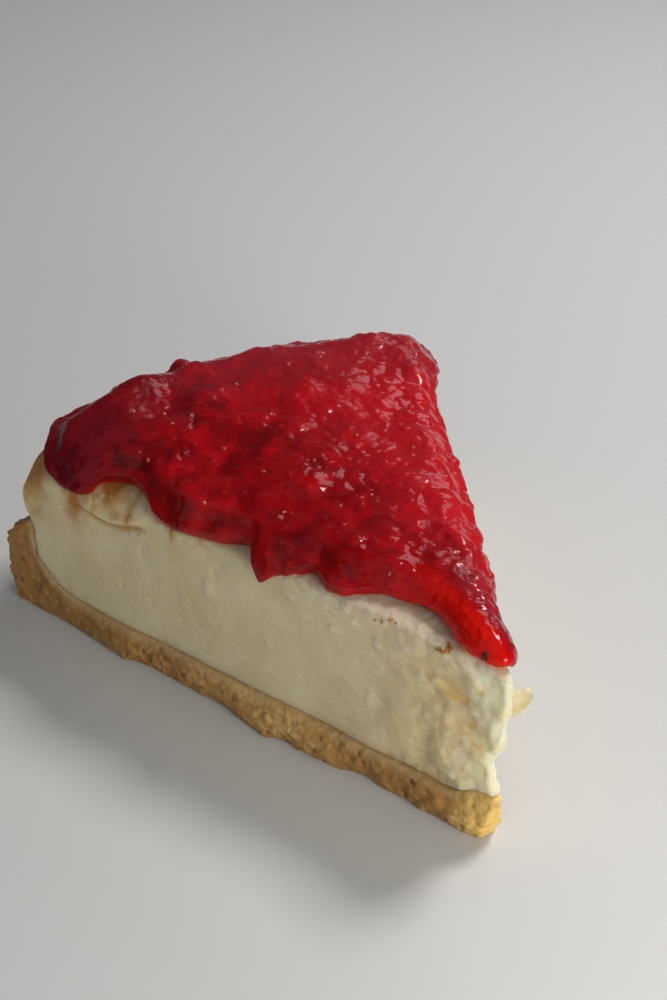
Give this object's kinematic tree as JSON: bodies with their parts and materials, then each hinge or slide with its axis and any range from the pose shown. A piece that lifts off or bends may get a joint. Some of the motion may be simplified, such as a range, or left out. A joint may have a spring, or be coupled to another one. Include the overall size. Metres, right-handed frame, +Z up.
{
  "type": "cheesecake slice",
  "caption": "Wedge of baked cheesecake on a raised biscuit base, with strawberry topping hanging over its cut edge.",
  "frame": {"origin": "on the rest plane, at the middle of the slice's bounding box", "axes": "+Z up, +Y from the tip to the round rim, +X towards the cut that the picture doesn't show"},
  "size_m": [0.1061, 0.1259, 0.0505],
  "materials": {
    "biscuit": "crumbly baked biscuit",
    "filling": "moist baked cream cheese, browned at its rim",
    "topping": "wet glossy strawberry preserve"
  },
  "bodies": {
    "root": {"biscuit_base": "biscuit", "cheese_filling": "filling", "strawberry_topping": "topping"}
  },
  "joints": []
}
